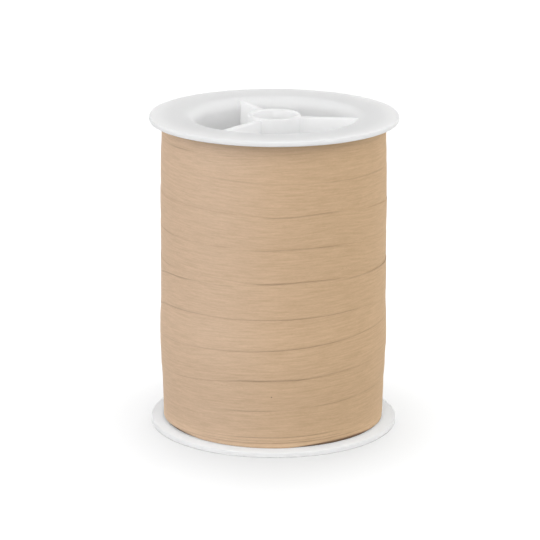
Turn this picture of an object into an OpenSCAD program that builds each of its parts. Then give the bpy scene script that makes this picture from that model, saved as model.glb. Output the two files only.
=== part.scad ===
// Reel of gift ribbon: two moulded reel halves that plug together inside the wound ribbon.
// Millimetres, +Z up, with the origin at the centre of the face that the reel stands on.
// A half is drawn with its outer face at z = 0, and the upper one is its mirror image.

/* [Reel] */
// Outer diameter of both flanges
flange_d = 76; // [73:0.5:90]
// Height over the two outer faces
reel_h = 97; // [80:0.5:120]
// Wall of the flange and of the barrel, one thickness all over
wall = 1.6; // [1.2:0.1:1.9]
// Radius of the two rounded edges of the rim
rim_round = 0.4; // [0.2:0.05:0.5]
// Inner diameter of the barrel just below its mouth
barrel_bore = 48.6; // [44:0.2:52]
// Radius of the rounded mouth, where the flange turns into the barrel
mouth_round = 3.4; // [2.4:0.1:4]
// Draft: how much the barrel's inner radius shrinks from the mouth to the parting plane
draft = 0.2; // [0:0.05:0.3]

/* [Hub and ribs] */
// Bore of the hub tube, for a spindle
hub_bore = 13.4; // [8:0.2:16]
// Wall of the hub tube
hub_wall = 1.3; // [1.1:0.1:2]
// Lead-in chamfer of the hub bore
hub_lead = 0.4; // [0.2:0.05:0.6]
// Radius of the outer edge of the hub's end
hub_round = 0.3; // [0.1:0.05:0.4]
// Number of ribs between the hub and the barrel
rib_count = 3; // [3:1:4]
// Thickness of a rib
rib_t = 2; // [1.4:0.1:3]
// Depth of the rib tops below the flange face
rib_drop = 0.55; // [0.2:0.05:1.5]
// Radius of a rib's two top edges
rib_round = 0.4; // [0.2:0.05:0.6]
// Free height between the inner end of a rib and the parting plane
rib_gap = 0.2; // [0.1:0.05:0.5]
// Direction of the first rib, counter-clockwise from +X
rib_turn = -6.5; // [-60:0.5:60]

/* [Plug joint] */
// Height of the lower half's lip inside the upper half
lap_h = 5; // [3:0.5:8]
// Free height above the lip
lap_end_gap = 0.3; // [0.1:0.1:0.6]
// Radial play between the lip and the wall round it
lap_gap = 0.05; // [0.03:0.01:0.15]
// Play on each side of a rib in its notch in the lip
notch_gap = 0.1; // [0.05:0.05:0.3]

/* [Ribbon] */
// Width of the ribbon, which is also the climb of one turn
ribbon_w = 10; // [9:0.5:11]
// Outer diameter of the wound ribbon
pack_d = 69.3; // [64:0.1:70]
// Depth of the outer layer of turns
turn_t = 0.45; // [0.3:0.05:0.6]
// Free height between two neighbouring turns
turn_gap = 0.45; // [0.42:0.01:0.8]
// How far a turn's two edges lie below its middle
turn_crown = 0.12; // [0.05:0.01:0.2]
// Height of the lowest seam at the front
seam_z = 3.2; // [1.5:0.1:11]
// Share of the climb that the winder makes at the back of the reel
linger = 0.9; // [0:0.05:0.95]
// Play between the inner windings and the reel
seat_gap = 0.05; // [0.05:0.05:0.2]
// Free height between the outer turns and each flange
edge_gap = 0.3; // [0.2:0.05:0.6]
// Straight run of the ribbon's free end
tail_run = 8; // [2:0.5:9]

/* [Hidden] */
$fn = 120;

flange_r = flange_d / 2;
half_h = reel_h / 2;
barrel_in = barrel_bore / 2;
barrel_out = barrel_in + wall;
mouth_r = barrel_in + mouth_round;
// The lip and the recess share the wall at its middle
lap_r = barrel_in + wall / 2;
rib_reach = lap_r + wall / 4;
recess_h = lap_h + lap_end_gap;
hub_in = hub_bore / 2;
hub_out = hub_in + hub_wall;
rib_step = 360 / rib_count;
rib_end = half_h - rib_gap;

// Outer layer of turns: a flat strip with its inner face on the inner windings
turn_rings = 24;
pitch = ribbon_w;
turn_w = ribbon_w - turn_gap;
turn_in = pack_d / 2 - turn_t;
turn_low = wall + edge_gap + turn_w / 2;
turn_high = reel_h - wall - edge_gap - turn_w / 2;
// The strip is straight from ring to ring, so the windings under it stay inside its flats
core_r = turn_in * cos(180 / turn_rings) - seat_gap;
// Rings of the strip that lie between the flanges
turn_span = ceil(reel_h / pitch) * turn_rings;
ring_ids = [for (i = [0 : turn_span]) if (turn_z(i) >= turn_low && turn_z(i) <= turn_high) i];

WHITE = "whitesmoke";
KRAFT = "burlywood";

// ---- Reel halves ----

// Flange with its rounded rim, as the half profile that is turned about the axis
module flange_profile() {
    rim_x = flange_r - rim_round;
    translate([mouth_r, 0]) square([rim_x - mouth_r, wall]);
    translate([mouth_r, rim_round]) square([flange_r - mouth_r, wall - 2 * rim_round]);
    for (y = [rim_round, wall - rim_round])
        translate([rim_x, y]) circle(r = rim_round);
}

// Quarter bend of even thickness from the flange into the barrel
module mouth_profile() {
    translate([mouth_r, mouth_round])
        difference() {
            circle(r = mouth_round);
            circle(r = mouth_round - wall);
            translate([0, -mouth_round]) square([mouth_round, 2 * mouth_round]);
            translate([-mouth_round, 0]) square([2 * mouth_round, mouth_round]);
        }
}

// Barrel wall from the mouth to the parting plane, with draft on its inner side
module barrel_profile() {
    polygon([
        [barrel_in, mouth_round],
        [barrel_out, mouth_round],
        [barrel_out, half_h],
        [barrel_in - draft, half_h]
    ]);
}

// Hub tube with a rounded outer edge and a lead-in on its bore
module hub_profile() {
    difference() {
        union() {
            translate([hub_in, hub_round]) square([hub_wall, half_h - hub_round]);
            translate([hub_in, 0]) square([hub_wall - hub_round, half_h]);
            translate([hub_out - hub_round, hub_round]) circle(r = hub_round);
        }
        polygon([[hub_in, hub_lead], [hub_in, 0], [hub_in + hub_lead, 0]]);
    }
}

// One rib from the hub tube into the barrel wall, with rounded top edges
module rib() {
    hub_mid = hub_in + hub_wall / 2;
    edge_x = rib_t / 2 - rib_round;
    translate([hub_mid, 0, 0])
        rotate([90, 0, 90])
            linear_extrude(height = rib_reach - hub_mid) {
                translate([-rib_t / 2, rib_drop + rib_round])
                    square([rib_t, rib_end - rib_drop - rib_round]);
                translate([-edge_x, rib_drop]) square([2 * edge_x, rib_end - rib_drop]);
                for (x = [-edge_x, edge_x])
                    translate([x, rib_drop + rib_round]) circle(r = rib_round);
            }
}

module ribs() {
    for (i = [0 : rib_count - 1])
        rotate([0, 0, rib_turn + i * rib_step]) rib();
}

// Half without its share of the plug joint: flange, mouth and barrel
module shell_profile() {
    flange_profile();
    mouth_profile();
    barrel_profile();
}

// Lip of the lower half, half the wall thick, that enters the upper half
module lip_profile() {
    translate([barrel_in - draft, half_h])
        square([lap_r - lap_gap - barrel_in + draft, lap_h]);
}

// Notches in the lip for the upper half's ribs, so that the halves can't turn
module notches() {
    for (i = [0 : rib_count - 1])
        rotate([0, 0, rib_turn + i * rib_step])
            translate([0, -rib_t / 2 - notch_gap, half_h + rib_gap / 2])
                cube([lap_r, rib_t + 2 * notch_gap, lap_h]);
}

module lower_half() color(WHITE) {
    difference() {
        rotate_extrude() {
            shell_profile();
            lip_profile();
        }
        notches();
    }
    rotate_extrude() hub_profile();
    ribs();
}

// The inner half of the wall is cut back over the height of the lip, and the ribs run on
module upper_half() color(WHITE)
    translate([0, 0, reel_h])
        mirror([0, 0, 1]) {
            rotate_extrude()
                difference() {
                    shell_profile();
                    translate([0, half_h - recess_h]) square([lap_r, recess_h]);
                }
            rotate_extrude() hub_profile();
            ribs();
        }

// ---- Ribbon ----

// All layers but the last, seated on the lower flange and shaped to the rounded mouths
module inner_windings() color(KRAFT)
    rotate_extrude() {
        corner_r = mouth_round - wall - seat_gap;
        inner_x = barrel_out + seat_gap;
        translate([inner_x, mouth_round])
            square([core_r - inner_x, reel_h - 2 * mouth_round]);
        translate([mouth_r, wall])
            square([core_r - mouth_r, reel_h - 2 * wall - seat_gap]);
        for (y = [mouth_round, reel_h - mouth_round])
            translate([mouth_r, y]) circle(r = corner_r);
    }

// Height of the strip's middle at a ring: the winder climbs mostly behind the reel
function turn_z(i) =
    let (s = i / turn_rings)
    seam_z + pitch * (s + linger * sin(360 * s) / (2 * PI));

// Direction of a ring from the axis; the count starts at the back and runs by the left side
function turn_angle(i) = 90 + 360 * i / turn_rings;

// Cross-section of the strip: radius and height of its six corners, in order round it
section = [
    [turn_in, -turn_w / 2],
    [turn_in + turn_t - turn_crown, -turn_w / 2],
    [turn_in + turn_t, -turn_w / 6],
    [turn_in + turn_t, turn_w / 6],
    [turn_in + turn_t - turn_crown, turn_w / 2],
    [turn_in, turn_w / 2]
];
sides = len(section);

function ring_points(i) = [
    for (p = section)
        let (a = turn_angle(i))
        [p[0] * cos(a), p[0] * sin(a), turn_z(i) + p[1]]
];

// A ring moved along the strip's own direction, for the straight runs at its two ends
function run_on(ring, i, run) =
    let (a = turn_angle(i), way = [-sin(a), cos(a), 0])
    [for (p = ring) p + run * way];

first_ring = ring_ids[0];
last_ring = ring_ids[len(ring_ids) - 1];
rings = concat(
    [run_on(ring_points(first_ring), first_ring, -turn_t)],
    [for (i = ring_ids) ring_points(i)],
    [run_on(ring_points(last_ring), last_ring, tail_run)]
);

// Least distance between the points of the strip half a turn or more apart along it
function least_gap() = min([
    for (i = [0 : len(rings) - 1])
        for (j = [i + turn_rings / 2 : min(len(rings) - 1, i + 3 * turn_rings / 2)])
            min([for (p = rings[i]) min([for (q = rings[j]) norm(p - q)])])
]);

// The last layer: one unbroken strip, wound from the lower flange to the upper one
module outer_turns() color(KRAFT) {
    echo(str("least gap between turns: ", least_gap(), " mm"));
    last = len(rings) - 1;
    sides_faces = [
        for (i = [0 : last - 1])
            for (k = [0 : sides - 1])
                let (a = i * sides + k, b = i * sides + (k + 1) % sides)
                    each [[a, b, b + sides], [a, b + sides, a + sides]]
    ];
    start_cap = [for (k = [1 : sides - 2]) [0, k + 1, k]];
    end_cap = [for (k = [1 : sides - 2]) [last * sides, last * sides + k, last * sides + k + 1]];
    polyhedron(
        points = [for (ring = rings) each ring],
        faces = concat(sides_faces, start_cap, end_cap)
    );
}

lower_half();
upper_half();
inner_windings();
outer_turns();
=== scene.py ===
import math

import bpy
import numpy as np
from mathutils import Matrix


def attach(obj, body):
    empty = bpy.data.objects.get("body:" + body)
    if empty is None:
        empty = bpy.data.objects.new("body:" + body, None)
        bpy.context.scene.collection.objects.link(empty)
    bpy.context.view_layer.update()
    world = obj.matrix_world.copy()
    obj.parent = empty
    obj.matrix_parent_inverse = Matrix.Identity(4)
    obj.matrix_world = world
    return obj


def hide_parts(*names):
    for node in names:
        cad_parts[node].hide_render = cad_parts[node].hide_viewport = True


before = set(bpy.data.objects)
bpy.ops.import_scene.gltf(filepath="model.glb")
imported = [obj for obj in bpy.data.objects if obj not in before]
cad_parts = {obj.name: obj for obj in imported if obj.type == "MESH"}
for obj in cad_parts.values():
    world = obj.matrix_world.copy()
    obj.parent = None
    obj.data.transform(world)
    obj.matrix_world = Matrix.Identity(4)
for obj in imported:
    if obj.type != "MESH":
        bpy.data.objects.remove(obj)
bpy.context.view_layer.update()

# ---- Table, light and camera ----
# The reel stands on a plain white table, in even soft light that is a little cool on its left
# and warm on its right. The camera is as far off and as high as a long lens on a small product.

scene = bpy.context.scene
scene.view_settings.view_transform = "Standard"

MM = 0.001
flange_radius = 38 * MM
reel_height = 97 * MM


def node_tools(tree):
    """Short hands for one node tree: make(kind, **inputs and settings) and link(a, b)."""
    def make(kind, **values):
        node = tree.nodes.new(kind)
        for name, value in values.items():
            if hasattr(node, name):
                setattr(node, name, value)
            else:
                node.inputs[name.replace("_", " ")].default_value = value
        return node
    return make, tree.links.new


def mix_colours(make, link, mask, low, high):
    """Colour that goes from low to high as the mask goes from 0 to 1."""
    mix = make("ShaderNodeMix", data_type="RGBA")
    mix.inputs[6].default_value = (*low, 1)
    mix.inputs[7].default_value = (*high, 1)
    link(mask, mix.inputs[0])
    return mix.outputs[2]


def new_material(name):
    material = bpy.data.materials.new(name)
    material.use_nodes = True
    material.node_tree.nodes.clear()
    return material


def seen_straight(make, link):
    """1 for rays from the camera, in a gloss or through glass, and 0 for light that bounces."""
    ray = make("ShaderNodeLightPath")
    first = make("ShaderNodeMath", operation="MAXIMUM")
    both = make("ShaderNodeMath", operation="MAXIMUM")
    link(ray.outputs["Is Camera Ray"], first.inputs[0])
    link(ray.outputs["Is Glossy Ray"], first.inputs[1])
    link(first.outputs[0], both.inputs[0])
    link(ray.outputs["Is Transmission Ray"], both.inputs[1])
    return both.outputs[0]


# The table is just past white to the camera, as in a bright studio, so that only the shadow
# close round the reel shows. It throws less light back on the reel, from its duller colour.
table_size = 6.0
table_dull = (0.172, 0.172, 0.172)
table_pale = (0.60, 0.60, 0.60)
bpy.ops.mesh.primitive_plane_add(size=table_size, location=(0, 0, 0))
table = bpy.context.object
table.name = "table_top"
table_white = new_material("table_white")
make, link = node_tools(table_white.node_tree)
paper = make("ShaderNodeBsdfDiffuse")
out = make("ShaderNodeOutputMaterial")
shade = mix_colours(make, link, seen_straight(make, link), table_dull, table_pale)
link(shade, paper.inputs["Color"])
link(paper.outputs[0], out.inputs["Surface"])
table.data.materials.append(table_white)

# The room is white to the camera and in reflections, and a dimmer soft fill as a light.
room_fill = 0.125
world = bpy.data.worlds.new("white_room")
world.use_nodes = True
world.node_tree.nodes.clear()
make, link = node_tools(world.node_tree)
strength = make("ShaderNodeMapRange", To_Min=room_fill, To_Max=1.0)
back = make("ShaderNodeBackground", Color=(1, 1, 1, 1))
out = make("ShaderNodeOutputWorld")
link(seen_straight(make, link), strength.inputs["Value"])
link(strength.outputs[0], back.inputs["Strength"])
link(back.outputs[0], out.inputs["Surface"])
scene.world = world


def soft_sun(name, turn, rise, strength, spread, lit, gloss=True, body=True, tint=(1, 1, 1)):
    """Even light, spread degrees wide, from turn degrees right of the front and rise degrees up.

    It lights only the collection lit; gloss and body switch off its shine or its plain light."""
    lamp = bpy.data.lights.new(name, "SUN")
    lamp.energy = strength * math.pi
    lamp.color = tint
    lamp.angle = math.radians(spread)
    holder = bpy.data.objects.new(name, lamp)
    bpy.context.collection.objects.link(holder)
    holder.rotation_euler = (math.radians(90 - rise), 0, math.radians(turn))
    holder.light_linking.receiver_collection = lit
    holder.visible_glossy = gloss
    holder.visible_diffuse = body
    return holder


def light_group(name, pieces, state):
    """Collection for lamps that light these pieces alone (INCLUDE) or all but them (EXCLUDE)."""
    group = bpy.data.collections.new(name)
    for place, piece in enumerate(pieces):
        group.objects.link(piece)
        group.collection_objects[place].light_linking.link_state = state
    return group


# Two lamps light the table alone and the rest the reel alone, so each has its own shade: the
# table a shadow that is longest towards the front, the reel a gentle side light. At the sides
# the plastic and the ribbon have lamps of their own, and only the ribbon's are tinted.
lower_half, upper_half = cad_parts["lower_half"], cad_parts["upper_half"]
table_only = light_group("table_only", [table], "INCLUDE")
reel_only = light_group("reel_only", [table], "EXCLUDE")
foot_only = light_group("foot_only", [lower_half], "INCLUDE")
above_foot = light_group("above_foot", [table, lower_half], "EXCLUDE")
ribbon_only = light_group("ribbon_only", [table, lower_half, upper_half], "EXCLUDE")
plastic_only = light_group("plastic_only", [lower_half, upper_half], "INCLUDE")

soft_sun("table_overhead", 0, 90, 1.605, 60, lit=table_only)
soft_sun("table_back", 180, 35, 0.337, 60, lit=table_only)
soft_sun("high_left", -32, 40, 0.36, 65, lit=above_foot, gloss=False)
soft_sun("high_right", 32, 40, 0.385, 65, lit=above_foot, gloss=False)
soft_sun("high_foot", 0, 40, 0.58, 70, lit=foot_only, gloss=False)
soft_sun("window_left", -77, 12, 0.34, 60, lit=plastic_only, gloss=False)
soft_sun("wall_right", 78, 12, 0.28, 60, lit=plastic_only, gloss=False)
soft_sun("cool_left", -77, 12, 0.34, 60, lit=ribbon_only, gloss=False, tint=(0.99, 1.01, 1.16))
soft_sun("warm_right", 78, 12, 0.28, 60, lit=ribbon_only, gloss=False, tint=(1.02, 1.01, 0.80))
soft_sun("back_left", -135, 12, 0.21, 45, lit=reel_only, gloss=False)
soft_sun("back_right", 135, 12, 0.33, 45, lit=reel_only, gloss=False)
soft_sun("shine_left", -58, 12, 3.0, 70, lit=ribbon_only, body=False)

# The bright table throws light up under the flanges, most of all under the lower one.
for name, strength, lit in (("table_glow", 0.30, reel_only), ("foot_glow", 0.36, foot_only)):
    glow = soft_sun(name, 0, -90, strength, 60, lit=lit, gloss=False)
    glow.light_linking.blocker_collection = reel_only

# The camera's distance, height and pitch are in flange radii and degrees.
image_px = 540
focal_px = 2798.5
axis_px = 273.9
camera_far = 21.86 * flange_radius
camera_high = reel_height + 4.77 * flange_radius
camera_pitch = math.radians(15.5)
camera_roll = math.radians(0.16)
aside = (axis_px - image_px / 2) / focal_px * camera_far
camera_data = bpy.data.cameras.new("camera")
camera_data.sensor_width = 36.0
camera_data.lens = focal_px / image_px * camera_data.sensor_width
camera_data.clip_end = 20.0
camera = bpy.data.objects.new("camera", camera_data)
camera.location = (-aside, -camera_far, camera_high)
tip = math.pi / 2 - camera_pitch
camera.rotation_euler = (tip, -camera_roll * math.sin(tip), camera_roll * math.cos(tip))
bpy.context.collection.objects.link(camera)
scene.camera = camera


# ---- Reel halves ----
# The reel is moulded from white polystyrene in two halves that plug together at mid-barrel.
# Its satin skin has faint flow marks, fine scuffs and a very fine grain, and lets light in.

def mask_group():
    """Flow: broad clouds. Grain: tiny bumps. Scuff: sparse fine marks. All run from 0 to 1."""
    group = bpy.data.node_groups.new("moulded_skin", "ShaderNodeTree")
    face = group.interface
    face.new_socket("Scale", in_out="INPUT", socket_type="NodeSocketFloat")
    face.new_socket("Flow", in_out="OUTPUT", socket_type="NodeSocketFloat")
    face.new_socket("Grain", in_out="OUTPUT", socket_type="NodeSocketFloat")
    face.new_socket("Scuff", in_out="OUTPUT", socket_type="NodeSocketFloat")
    make, link = node_tools(group)
    given = make("NodeGroupInput")
    given_out = make("NodeGroupOutput")
    place = make("ShaderNodeTexCoord")
    sized = make("ShaderNodeVectorMath", operation="SCALE")
    link(place.outputs["Object"], sized.inputs[0])
    link(given.outputs["Scale"], sized.inputs["Scale"])
    flow = make("ShaderNodeTexNoise", Scale=60.0, Detail=3.0, Roughness=0.5)
    grain = make("ShaderNodeTexNoise", Scale=2600.0, Detail=2.0, Roughness=0.6)
    scuff = make("ShaderNodeTexNoise", Scale=420.0, Detail=5.0, Roughness=0.75)
    scuff_cut = make("ShaderNodeMapRange", From_Min=0.62, From_Max=0.78)
    for noise in (flow, grain, scuff):
        link(sized.outputs[0], noise.inputs["Vector"])
    link(scuff.outputs["Fac"], scuff_cut.inputs["Value"])
    link(flow.outputs["Fac"], given_out.inputs["Flow"])
    link(grain.outputs["Fac"], given_out.inputs["Grain"])
    link(scuff_cut.outputs[0], given_out.inputs["Scuff"])
    return group


moulded_skin = mask_group()
white_plastic = new_material("white_polystyrene")
white_low, white_high = (0.955, 0.955, 0.956), (0.965, 0.965, 0.965)
light_depth = 4 * MM
make, link = node_tools(white_plastic.node_tree)
skin = make("ShaderNodeGroup", node_tree=moulded_skin)
skin.inputs["Scale"].default_value = 1.0
colour = mix_colours(make, link, skin.outputs["Flow"], white_low, white_high)
worn = make("ShaderNodeMath", operation="MULTIPLY_ADD")
worn.inputs[1].default_value = 0.5
link(skin.outputs["Scuff"], worn.inputs[0])
link(skin.outputs["Flow"], worn.inputs[2])
gloss = make("ShaderNodeMapRange", To_Min=0.52, To_Max=0.64)
link(worn.outputs[0], gloss.inputs["Value"])
relief = make("ShaderNodeBump", Strength=0.12, Distance=0.00004)
link(skin.outputs["Grain"], relief.inputs["Height"])
plastic = make("ShaderNodeBsdfPrincipled", IOR=1.59)
plastic.inputs["Subsurface Weight"].default_value = 1.0
plastic.inputs["Subsurface Radius"].default_value = (light_depth, light_depth, light_depth)
plastic.inputs["Subsurface Scale"].default_value = 1.0
plastic.inputs["Specular IOR Level"].default_value = 0.2
link(colour, plastic.inputs["Base Color"])
link(gloss.outputs[0], plastic.inputs["Roughness"])
link(relief.outputs[0], plastic.inputs["Normal"])
out = make("ShaderNodeOutputMaterial")
link(plastic.outputs[0], out.inputs["Surface"])

for half in (lower_half, upper_half):
    half.data.materials.clear()
    half.data.materials.append(white_plastic)


# ---- Inner windings ----
# All the layers of film that the outer turns lie on, seen only beside the flanges. They are
# wound tight on the barrel, and their edges stand side by side, so the end faces are grooved.

wall = 1.6 * MM
mouth_round = 3.4 * MM
barrel_in = 24.3 * MM
ribbon_t = 0.06 * MM
layer_step = 0.085 * MM
flange_gap = 0.03 * MM
mouth_gap = 0.08 * MM
# The end faces: how far out the grooves go, how many there are and how far an edge may stray
grooves_end = 33.4 * MM
groove_count = 46
edge_wander = 0.32 * MM
# How far from a flange the painted shade of the gap at its foot reaches
gap_shade_paint = 1.6 * MM
# Points round each ring and each turn
turn_steps = 144

# Outline of the wound pack, as height and radius in millimetres.
pack_outline = ((0, 33.95), (5, 33.98), (13, 34.2), (20, 34.58), (27, 34.9), (33, 34.85),
                (40, 34.55), (50, 34.58), (62, 34.55), (71, 34.6), (78, 34.47), (86, 34.33),
                (90, 34.12), (97, 34.0))


def smooth_between(x, points):
    """Curve with level tangents through the points, in the points' own unit."""
    xs, ys = np.array(points).T
    i = np.clip(np.searchsorted(xs, x) - 1, 0, len(xs) - 2)
    t = np.clip((x - xs[i]) / (xs[i + 1] - xs[i]), 0, 1)
    t = t * t * (3 - 2 * t)
    return ys[i] * (1 - t) + ys[i + 1] * t


def pack_radius(z):
    return smooth_between(np.asarray(z) / MM, pack_outline) * MM


def mesh_piece(name, points, faces, uv):
    """Smooth-shaded object, with the film's own directions at each point as its UV map."""
    mesh = bpy.data.meshes.new(name)
    mesh.from_pydata([tuple(p) for p in points], [], [tuple(int(k) for k in f) for f in faces])
    layer = mesh.uv_layers.new(name="lay")
    corner = np.empty(len(mesh.loops), dtype=np.int32)
    mesh.loops.foreach_get("vertex_index", corner)
    layer.data.foreach_set("uv", np.asarray(uv)[corner].ravel())
    mesh.polygons.foreach_set("use_smooth", [True] * len(mesh.polygons))
    mesh.validate()
    piece = bpy.data.objects.new(name, mesh)
    bpy.context.collection.objects.link(piece)
    return piece


def note_shade_paint(piece, amounts):
    """Notes point by point, from 0 to 1, how much shade is painted where a neighbouring layer hides
    light.
    """
    painted_shade = piece.data.attributes.new("painted_shade", "FLOAT", "POINT")
    painted_shade.data.foreach_set("value", np.clip(amounts, 0, 1).ravel())


def grid_faces(rows, columns, close_columns=False, close_rows=False):
    """Quads between the points of a grid that is stored row by row."""
    r = np.arange(rows if close_rows else rows - 1)
    c = np.arange(columns if close_columns else columns - 1)
    rr, cc = np.meshgrid(r, c, indexing="ij")
    r2, c2 = (rr + 1) % rows, (cc + 1) % columns
    corners = [(rr, cc), (rr, c2), (r2, c2), (r2, cc)]
    return np.stack([row * columns + column for row, column in corners], -1).reshape(-1, 4)


def wound_pack():
    """A ring turned round the barrel, whose two end faces are grooved by the ribbon's edges."""
    rng = np.random.default_rng(7)
    under_film = 4.4 * layer_step
    corner = mouth_round - wall - mouth_gap
    mouth_r = barrel_in + mouth_round
    low, high = wall + flange_gap, reel_height - wall - flange_gap
    groove = np.linspace(mouth_r, grooves_end, groove_count)
    rise = rng.uniform(0.0, edge_wander, len(groove))
    arc = np.radians(np.linspace(90, 0, 7))
    lower = [(r, low + d) for r, d in zip(groove[::-1], rise)]
    lower += [(mouth_r - corner * math.cos(a), mouth_round - corner * math.sin(a)) for a in arc]
    rise = rng.uniform(0.0, edge_wander, len(groove))
    upper = [(mouth_r - corner * math.cos(a), reel_height - mouth_round + corner * math.sin(a))
             for a in arc[::-1]]
    upper += [(r, high - d) for r, d in zip(groove, rise)]
    side_z = np.linspace(high - 1.0 * MM, low + 1.0 * MM, 60)
    side_z = np.r_[high - 0.3 * MM, side_z, low + 0.02 * MM]
    side = [(float(pack_radius(z)) - under_film, z) for z in side_z]
    outline = np.array(lower + upper + side)
    angle = np.arange(turn_steps) * 2 * math.pi / turn_steps
    points = np.stack([np.outer(np.cos(angle), outline[:, 0]),
                       np.outer(np.sin(angle), outline[:, 0]),
                       np.tile(outline[:, 1], (turn_steps, 1))], -1).reshape(-1, 3)
    length = np.outer(angle, outline[:, 0])
    across = np.tile(outline[:, 1] + outline[:, 0], (turn_steps, 1))
    uv = np.stack([length, across], -1).reshape(-1, 2)
    faces = grid_faces(turn_steps, len(outline), close_columns=True, close_rows=True)
    piece = mesh_piece("inner_layers", points, faces[:, ::-1], uv)
    # The lowest and highest outer turns stop short of the flanges, and leave a narrow gap whose
    # shade is painted dark onto the inner layers near each flange
    middle = reel_height / 2
    from_flange = middle - wall - np.abs(points[:, 2] - middle)
    # Painted shade on the inner layers, full close to each flange and fading out further from it
    note_shade_paint(piece, (gap_shade_paint - from_flange) / MM)
    return piece


def film_group():
    """Ribs: fine broken lines along the film. Fibre: paper-like specks. Both run from 0 to 1."""
    group = bpy.data.node_groups.new("film_lines", "ShaderNodeTree")
    face = group.interface
    face.new_socket("Lay", in_out="INPUT", socket_type="NodeSocketVector")
    face.new_socket("Ribs", in_out="OUTPUT", socket_type="NodeSocketFloat")
    face.new_socket("Fibre", in_out="OUTPUT", socket_type="NodeSocketFloat")
    make, link = node_tools(group)
    given = make("NodeGroupInput")
    given_out = make("NodeGroupOutput")
    noises = []
    # How often the lines, the broad bands and the specks come in a metre, along and across
    for along, over, detail in ((150, 1650, 2.0), (60, 800, 1.0), (900, 3400, 1.0)):
        stretch = make("ShaderNodeMapping")
        stretch.inputs["Scale"].default_value = (along, over, 1)
        noise = make("ShaderNodeTexNoise", Scale=1.0, Detail=detail, Roughness=0.6)
        link(given.outputs["Lay"], stretch.inputs[0])
        link(stretch.outputs[0], noise.inputs["Vector"])
        noises.append(noise.outputs["Fac"])
    lines, bands, specks = noises
    blend = make("ShaderNodeMix", data_type="FLOAT")
    blend.inputs[0].default_value = 0.25
    link(lines, blend.inputs[2])
    link(bands, blend.inputs[3])
    spread = make("ShaderNodeMapRange", From_Min=0.35, From_Max=0.65)
    link(blend.outputs[0], spread.inputs["Value"])
    fleck = make("ShaderNodeMapRange", From_Min=0.3, From_Max=0.7)
    link(specks, fleck.inputs["Value"])
    link(spread.outputs[0], given_out.inputs["Ribs"])
    link(fleck.outputs[0], given_out.inputs["Fibre"])
    return group


film_lines = film_group()


def ribbon_material(name, ribs_low, ribs_high, speck=None):
    """Matt kraft-coloured film, ribbed along its length, with painted shade where a layer hides
    light.

    A speck of dark print lies at one place of the film, if one is given."""
    material = new_material(name)
    make, link = node_tools(material.node_tree)
    lay = make("ShaderNodeUVMap", uv_map="lay")
    film = make("ShaderNodeGroup", node_tree=film_lines)
    link(lay.outputs[0], film.inputs["Lay"])
    pattern = make("ShaderNodeMix", data_type="FLOAT")
    pattern.inputs[0].default_value = 0.3
    link(film.outputs["Ribs"], pattern.inputs[2])
    link(film.outputs["Fibre"], pattern.inputs[3])
    colour = mix_colours(make, link, pattern.outputs[0], ribs_low, ribs_high)
    relief = make("ShaderNodeBump", Strength=0.35, Distance=0.00003)
    link(pattern.outputs[0], relief.inputs["Height"])
    gloss = make("ShaderNodeMapRange", To_Min=0.62, To_Max=0.74)
    link(film.outputs["Ribs"], gloss.inputs["Value"])
    # Painted shade: by the amount noted on each point, the film's colour is mixed towards this dark
    # brown
    painted_shade = make("ShaderNodeAttribute", attribute_name="painted_shade")
    shaded = make("ShaderNodeMix", data_type="RGBA")
    shaded.inputs[7].default_value = (0.16, 0.09, 0.05, 1)
    link(painted_shade.outputs["Fac"], shaded.inputs[0])
    link(colour, shaded.inputs[6])
    surface = shaded.outputs[2]
    if speck:
        apart = make("ShaderNodeVectorMath", operation="DISTANCE")
        apart.inputs[1].default_value = (*speck, 0)
        link(lay.outputs[0], apart.inputs[0])
        near = make("ShaderNodeMapRange", From_Min=0.08 * MM, From_Max=0.30 * MM)
        near.inputs["To Min"].default_value = 0.75
        near.inputs["To Max"].default_value = 0.0
        link(apart.outputs["Value"], near.inputs["Value"])
        printed = make("ShaderNodeMix", data_type="RGBA")
        printed.inputs[7].default_value = (0.10, 0.06, 0.035, 1)
        link(near.outputs[0], printed.inputs[0])
        link(surface, printed.inputs[6])
        surface = printed.outputs[2]
    film_skin = make("ShaderNodeBsdfPrincipled", IOR=1.5)
    film_skin.inputs["Specular IOR Level"].default_value = 0.45
    # The light that the ribbon throws back on the white flanges and the table stays pale
    ray = make("ShaderNodeLightPath")
    thrown = make("ShaderNodeMix", data_type="RGBA")
    thrown.inputs[7].default_value = (0.78, 0.75, 0.72, 1)
    link(ray.outputs["Is Diffuse Ray"], thrown.inputs[0])
    link(surface, thrown.inputs[6])
    link(thrown.outputs[2], film_skin.inputs["Base Color"])
    link(gloss.outputs[0], film_skin.inputs["Roughness"])
    link(relief.outputs[0], film_skin.inputs["Normal"])
    out = make("ShaderNodeOutputMaterial")
    link(film_skin.outputs[0], out.inputs["Surface"])
    return material


inner_layers = wound_pack()
inner_layers.data.materials.append(
    ribbon_material("kraft_edges", (0.555, 0.37, 0.213), (0.66, 0.455, 0.278)))
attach(inner_layers, "root")
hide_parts("inner_windings")


# ---- Ribbon ----
# One long ribbon of matt film, about 10 mm wide, laid turn beside turn by a winder. The last
# layer goes down from the upper flange, turns at the lower one and climbs again to its free
# end at mid-height, at the back.

# Lengths in this section are in millimetres until they are multiplied by MM. The strip is a
# little over its nominal 10 mm wide, so that each turn covers the edge of the one beside it.
ribbon_w = 10.3
lay_pitch = 10
# Places of the points across the strip, as shares of half its width, and the rise of its crown
across_shares = (-1, -0.985, -0.95, -0.88, -0.72, -0.45, -0.15,
                 0.15, 0.45, 0.72, 0.88, 0.95, 0.985, 1)
crown_rise = 0.035
# A loose edge stands off this far, and the film bends up to it over this width. Every edge is
# a little loose, by this share and swing, and at the back, where the tables end, by more.
edge_lift, edge_bend = 0.08, 0.5
always_loose, loose_swing = 0.12, 0.10
tables_end, back_swing, back_start = 0.26, 0.5, 0.4
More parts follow.
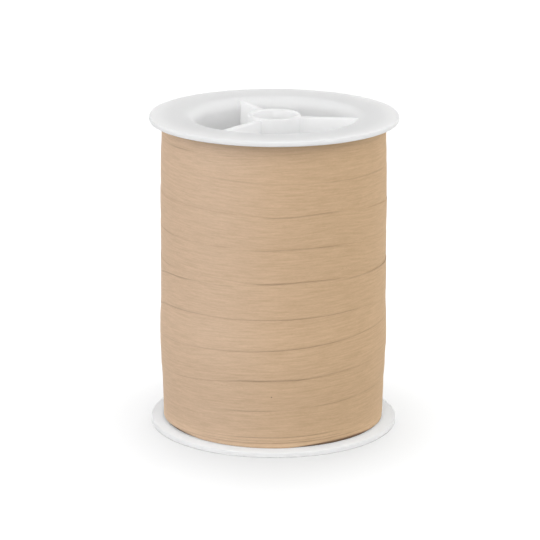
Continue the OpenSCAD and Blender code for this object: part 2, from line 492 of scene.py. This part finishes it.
# The strip wanders up and down and sways in and out, and the winding leans a little to the left
height_wander, sway_reach, lean_left = 0.06, 0.02, 0.10
# The free end lifts off this far, over this part of a turn
tail_lift, tail_turns = 0.9, 0.035
# Shade painted beside a loose edge: how dark it is, how wide, over what width it fades, and how
# loose an edge is before it has any
shade_paint_depth, shade_paint_reach, shade_paint_fade, still_tight = 0.42, 0.36, 0.2, 0.2
# The film's pattern runs on along the ribbon from turn to turn
turn_length = 2 * math.pi * 34.6 * MM

# Height of the edge that shows, turn by turn, at directions in degrees from the front towards
# the right: the upper edge on the way down, the lower one on the way up.
edges_down = (
    ((-80, 95.1), (80, 95.1)),
    ((-80, 91.3), (-60, 91.0), (-28, 91.3), (0, 91.9), (30, 92.1), (75, 91.2)),
    ((-80, 85.6), (-60, 85.0), (-20, 84.1), (0, 83.6), (30, 83.3), (65, 83.0)),
    ((-75, 74.2), (-50, 74.1), (-30, 73.9), (-5, 73.2), (10, 73.5),
     (25, 74.1), (37, 74.0), (50, 73.0), (70, 72.2)),
    ((-78, 63.9), (-50, 63.7), (-30, 63.4), (-8, 63.1), (8, 63.5),
     (20, 63.7), (37, 63.5), (50, 62.6), (65, 62.1)),
    ((-75, 53.5), (-60, 53.8), (-30, 54.0), (-14, 53.6), (-8, 52.8),
     (5, 53.2), (15, 53.6), (35, 53.4), (60, 52.6)),
    ((-60, 43.6), (60, 42.8)),
    ((-60, 33.6), (60, 32.8)),
    ((-60, 23.6), (60, 22.8)),
    ((-60, 14.6), (60, 13.6)),
    ((-80, 12.3), (-64, 12.5), (-52, 12.35), (-42, 11.95), (8, 11.92),
     (18, 12.4), (30, 12.8), (45, 12.85), (58, 12.4), (75, 12.1)),
)
edges_up = (
    ((-70, 2.3), (-40, 2.9), (0, 3.3), (40, 3.5), (70, 3.5)),
    ((-70, 3.0), (-40, 3.5), (-10, 4.0), (10, 4.1), (40, 4.3), (70, 4.4)),
    ((-75, 4.0), (-40, 4.4), (-10, 4.8), (10, 5.0), (30, 5.3), (60, 5.8)),
    ((-75, 11.6), (-40, 12.5), (-15, 13.0), (0, 13.4),
     (8, 13.6), (24, 14.3), (45, 15.0), (68, 15.6)),
    ((-85, 18.0), (-75, 19.5), (-55, 20.0), (-40, 21.0), (-30, 21.8),
     (-18, 22.8), (0, 23.2), (15, 23.3), (35, 24.3), (60, 24.7)),
    ((-86, 28.3), (-70, 30.0), (-55, 30.6), (-40, 31.3), (-25, 31.8), (-5, 32.3),
     (10, 32.8), (25, 33.4), (40, 34.0), (55, 34.7), (70, 35.0)),
    ((-86, 38.0), (-75, 39.9), (-65, 40.7), (-50, 41.2), (-40, 41.5),
     (-15, 41.8), (0, 42.0), (20, 42.3), (48, 42.6), (75, 42.5)),
)
turns_down = len(edges_down)
turns_all = turns_down + len(edges_up) + 0.1
# The layer under the one on the way down was laid on the way up before it. The ribbon's middle
# is at these heights a turn before the first one, where the first one starts, and at the end.
turns_before = 4.6
before_z, first_z, free_end_z = 84.5, 90.1, 49.0

# Where an edge stands off the turn beside it: turn, from and to in degrees, and how many times
# edge_lift.
loose_edges = (
    (1, -66, -46, 1.1), (1, -28, -14, 0.5), (2, -36, -9, 0.7), (2, -8, 26, 0.35), (2, 27, 76, 0.65),
    (2, 59, 67, 1.0), (3, -80, -34, 0.4), (3, -5, 37, 1.0), (4, -80, -60, 0.75), (4, -58, -30, 0.35),
    (4, -8, 37, 0.95), (5, -76, -58, 0.6), (5, -42, -12, 0.5), (5, -8, 35, 1.1),
    (11, -60, 50, 0.85), (12, -40, 40, 0.95), (13, -40, -14, 0.8), (13, -18, 32, 1.2),
    (14, -22, 3, 0.8), (14, 22, 44, 0.8), (14, 44, 70, 0.6), (15, -78, -40, 0.45),
    (15, -20, 16, 1.0), (15, 20, 36, 0.5), (16, -78, -26, 0.45), (16, -24, -6, 0.6),
    (16, -5, 40, 1.0), (16, 41, 60, 0.95), (16, 60, 76, 0.7), (17, -88, -38, 0.95),
    (17, -36, -2, 0.35), (17, 0, 48, 0.8),
)
# The same for the upper edge of the last turn
loose_last = ((17, -80, -46, 1.4), (17, -46, -20, 0.5), (17, 38, 57, 0.9), (17, 56, 84, 1.5))


def turn_of(turn, degrees):
    """Place along the ribbon, counted in turns; a whole number is at the back of the reel."""
    return turn + 0.5 + degrees / 360


def even_out(values, steps):
    """Moving average over a few steps, with the ends carried on."""
    window = np.hanning(2 * steps + 3)[1:-1]
    carried = np.concatenate([np.full(steps, values[0]), values, np.full(steps, values[-1])])
    return np.convolve(carried, window / window.sum(), mode="valid")


def lay_height(t):
    """Height of the ribbon's middle after t turns."""
    bend_steps = 2
    start_z = before_z - lay_pitch * (turns_before - 1)
    knots = [(-turns_before, start_z), (-1, before_z), (-0.2, first_z)]
    for turn, edge in enumerate(edges_down):
        knots += [(turn_of(turn, d), h - ribbon_w / 2) for d, h in edge]
    for turn, edge in enumerate(edges_up, turns_down):
        knots += [(turn_of(turn, d), h + ribbon_w / 2) for d, h in edge]
    knots.append((turns_all, free_end_z))
    return even_out(np.interp(t, *zip(*knots)), bend_steps)


def slow_noise(t, rng, waves, reach):
    """Sum of a few waves along the ribbon, about 1 high, that never repeats over its turns."""
    total = np.zeros_like(t)
    for k in range(waves):
        rate = rng.uniform(*reach)
        total += np.sin(2 * np.pi * (rate * t + rng.uniform(0, 1)))
    return total / math.sqrt(waves / 2)


def looseness(t, places, rng):
    """How many times edge_lift an edge stands off: a little everywhere, more at some places."""
    loose = always_loose + loose_swing * np.clip(slow_noise(t, rng, 6, (0.9, 3.7)), 0, 3)
    at_back = np.abs((t % 1) - 0.5) > tables_end
    by_chance = np.clip(slow_noise(t, rng, 5, (1.1, 2.9)) - back_start, 0, 1.5)
    loose += at_back * back_swing * by_chance
    loose = even_out(loose, 4)
    for turn, start, end, amount in places:
        inside = (t >= turn_of(turn, start)) & (t <= turn_of(turn, end))
        loose = np.where(inside, np.maximum(loose, amount), loose)
    return even_out(loose, 3)


def layer_shares(t):
    """Shares of the layer before, the way down and the way up, which change over quickly."""
    switch_early, switch_turns = 0.1, 0.05
    climbing = 1 / (1 + np.exp(-(t - turns_down + switch_early) / switch_turns))
    before = 1 / (1 + np.exp((t + switch_early) / switch_turns))
    return before, 1 - climbing - before, climbing


def strip_shape(t, angle, across):
    """Radius, height and painted shade at each point of the strip's outer skin."""
    rng = np.random.default_rng(21)
    to_low, to_high = ribbon_w / 2 + across, ribbon_w / 2 - across
    before, down, climbing = layer_shares(t)
    last = (t > turns_all - 1.1).astype(float)
    middle = lay_height(t) + height_wander * slow_noise(t, rng, 5, (0.6, 2.9))
    loose_high = looseness(t, loose_edges, rng) * down + looseness(t, loose_last, rng) * last
    loose_low = looseness(t, loose_edges, rng) * climbing
    height = (middle[:, None] + across[None, :]) * MM

    # Each layer lies on the one under it, and each turn slants up over the edge of the last
    depth = down + 2 * before + 0.5
    slant = np.outer(down - climbing - before, across / ribbon_w)
    radius = pack_radius(height) + (slant - depth[:, None]) * layer_step
    lift_low = np.outer(loose_low, np.exp(-to_low / edge_bend))
    lift_high = np.outer(loose_high, np.exp(-to_high / edge_bend))
    crown = crown_rise * (1 - (2 * across / ribbon_w) ** 2)
    sway = sway_reach * slow_noise(t, rng, 5, (0.3, 1.7))
    lean = lean_left * (1 - np.cos(angle))
    tail = tail_lift * np.clip((t - turns_all + tail_turns) / tail_turns, 0, 1) ** 2
    along = (sway + lean + tail)[:, None]
    radius += (edge_lift * (lift_low + lift_high) + crown[None, :] + along) * MM

    # Shade is painted into the colour along the loose edges, and along the lower edge of the lowest
    # turn
    lowest = (t > turns_down - 1) & (t < turns_down)
    shade_paint_low = np.clip(loose_low - still_tight, 0, 1) + lowest
    shade_paint_high = np.clip(loose_high - still_tight, 0, 1)
    shade_paint = np.outer(shade_paint_low, np.clip((shade_paint_reach - to_low) / shade_paint_fade, 0, 1))
    shade_paint += np.outer(shade_paint_high, np.clip((shade_paint_reach - to_high) / shade_paint_fade, 0, 1))
    return radius, height, shade_paint_depth * shade_paint


def wound_ribbon():
    """The strip of film: rings of points across it, outer skin then inner skin."""
    t = np.linspace(-turns_before, turns_all, int((turns_before + turns_all) * turn_steps) + 1)
    angle = np.radians(90 + 360 * t)
    across = np.array(across_shares) * ribbon_w / 2
    radius, height, shade_paint = strip_shape(t, angle, across)
    skins = []
    for inset in (0, ribbon_t):
        x = (radius - inset) * np.cos(angle)[:, None]
        y = (radius - inset) * np.sin(angle)[:, None]
        skins.append(np.stack([x, y, height], -1))
    ring = np.concatenate([skins[0], skins[1][:, ::-1]], axis=1)
    length = (t * turn_length)[:, None]
    width_at = np.r_[across, across[::-1]][None, :] * MM
    uv = np.stack(np.broadcast_arrays(length, width_at), -1)
    count = ring.shape[1]
    faces = grid_faces(*ring.shape[:2], close_columns=True).tolist()
    faces.append(list(range(count))[::-1])
    faces.append([len(ring) * count - count + k for k in range(count)])
    piece = mesh_piece("ribbon", ring.reshape(-1, 3), [f[::-1] for f in faces], uv.reshape(-1, 2))
    # The painted shade goes into the film's colour on both skins of the strip
    note_shade_paint(piece, np.concatenate([shade_paint, shade_paint[:, ::-1]], axis=1))
    return piece


ribbon = wound_ribbon()
speck = (turn_of(14, -1) * turn_length, -0.6 * MM)
ribbon.data.materials.append(
    ribbon_material("kraft_ribbon", (0.558, 0.377, 0.224), (0.692, 0.481, 0.308), speck))
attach(ribbon, "root")
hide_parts("outer_turns")
